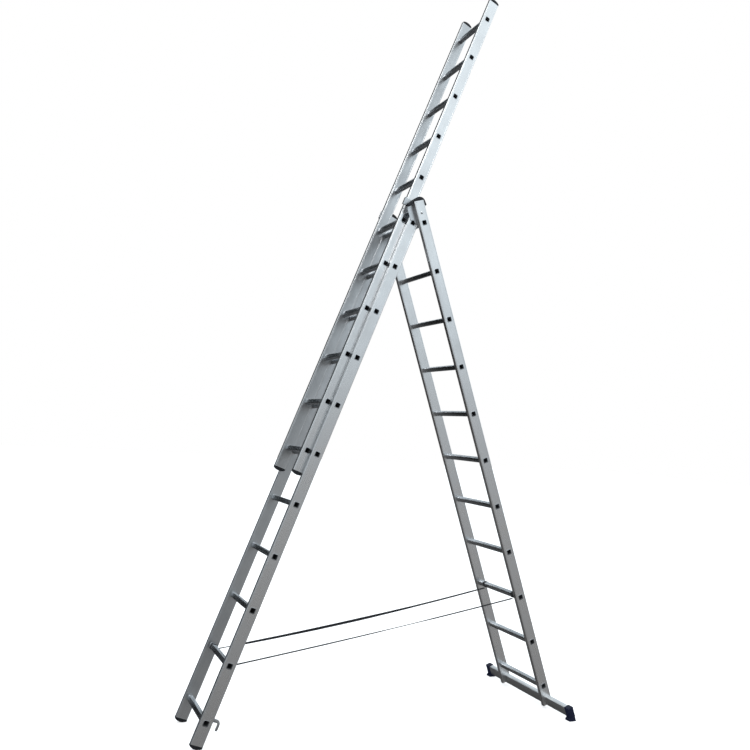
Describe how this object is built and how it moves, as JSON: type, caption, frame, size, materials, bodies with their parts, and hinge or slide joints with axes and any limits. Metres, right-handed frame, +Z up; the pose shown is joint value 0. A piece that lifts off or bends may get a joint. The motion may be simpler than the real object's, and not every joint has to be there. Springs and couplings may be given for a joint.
{
  "type": "combination ladder",
  "caption": "Aluminium combination ladder standing as an A-frame, with a sliding top section raised above the hinge, a stabiliser bar and spread straps.",
  "frame": {"origin": "on the floor, at the centre of the standing ladder's bounding box", "axes": "+Z up, +X from the front leg towards the rear leg with the stabiliser bar, +Y across the rungs, with the hooked stiles on the -Y side"},
  "size_m": [2.1536, 0.84, 4.222],
  "materials": {
    "stile_aluminium": "mill finish extrusion, cool light grey",
    "rung_aluminium": "ribbed extrusion, slightly darker than the stiles",
    "zinc_steel": "zinc plated sheet",
    "black_plastic": "moulded, near black",
    "navy_plastic": "moulded, black with a navy tint",
    "webbing": "woven black webbing"
  },
  "bodies": {
    "rear_section": {"rear_stile_near": "stile_aluminium", "rear_stile_far": "stile_aluminium", "rear_rung_01": "rung_aluminium", "rear_rung_02": "rung_aluminium", "rear_rung_03": "rung_aluminium", "rear_rung_04": "rung_aluminium", "rear_rung_05": "rung_aluminium", "rear_rung_06": "rung_aluminium", "rear_rung_07": "rung_aluminium", "rear_rung_08": "rung_aluminium", "rear_rung_09": "rung_aluminium", "rear_rung_10": "rung_aluminium", "rear_rung_11": "rung_aluminium", "rear_top_cap_near": "black_plastic", "rear_top_cap_far": "black_plastic", "rear_hinge_plate_near": "zinc_steel", "rear_hinge_plate_far": "zinc_steel", "stabiliser_bar": "stile_aluminium", "stabiliser_foot_near": "navy_plastic", "stabiliser_foot_far": "navy_plastic", "spread_strap_near": "webbing", "spread_strap_far": "webbing"},
    "middle_section": {"middle_stile_near": "stile_aluminium", "middle_stile_far": "stile_aluminium", "middle_rung_01": "rung_aluminium", "middle_rung_02": "rung_aluminium", "middle_rung_03": "rung_aluminium", "middle_rung_04": "rung_aluminium", "middle_rung_05": "rung_aluminium", "middle_rung_06": "rung_aluminium", "middle_rung_07": "rung_aluminium", "middle_rung_08": "rung_aluminium", "middle_rung_09": "rung_aluminium", "middle_rung_10": "rung_aluminium", "middle_rung_11": "rung_aluminium", "middle_top_cap_near": "black_plastic", "middle_top_cap_far": "black_plastic", "middle_foot_cap_near": "black_plastic", "middle_foot_cap_far": "black_plastic", "middle_guide_near": "zinc_steel", "middle_guide_far": "zinc_steel", "middle_hook": "zinc_steel"},
    "top_section": {"top_stile_near": "stile_aluminium", "top_stile_far": "stile_aluminium", "top_rung_01": "rung_aluminium", "top_rung_02": "rung_aluminium", "top_rung_03": "rung_aluminium", "top_rung_04": "rung_aluminium", "top_rung_05": "rung_aluminium", "top_rung_06": "rung_aluminium", "top_rung_07": "rung_aluminium", "top_rung_08": "rung_aluminium", "top_rung_09": "rung_aluminium", "top_rung_10": "rung_aluminium", "top_rung_11": "rung_aluminium", "top_top_cap_near": "black_plastic", "top_top_cap_far": "black_plastic", "top_foot_cap_near": "black_plastic", "top_foot_cap_far": "black_plastic", "top_hook": "zinc_steel"}
  },
  "joints": [
    {"name": "frame_hinge", "type": "hinge", "parent": "rear_section", "child": "middle_section", "pos_m": [-0.02791, 0, 2.76519], "axis": [0, 1, 0], "range_deg": [-39.5, 0], "deforming": ["spread_strap_near", "spread_strap_far"]},
    {"name": "top_slide", "type": "slide", "parent": "middle_section", "child": "top_section", "axis": [0.342, 0, 0.9397], "range_m": [-1.4, 0.84]}
  ]
}
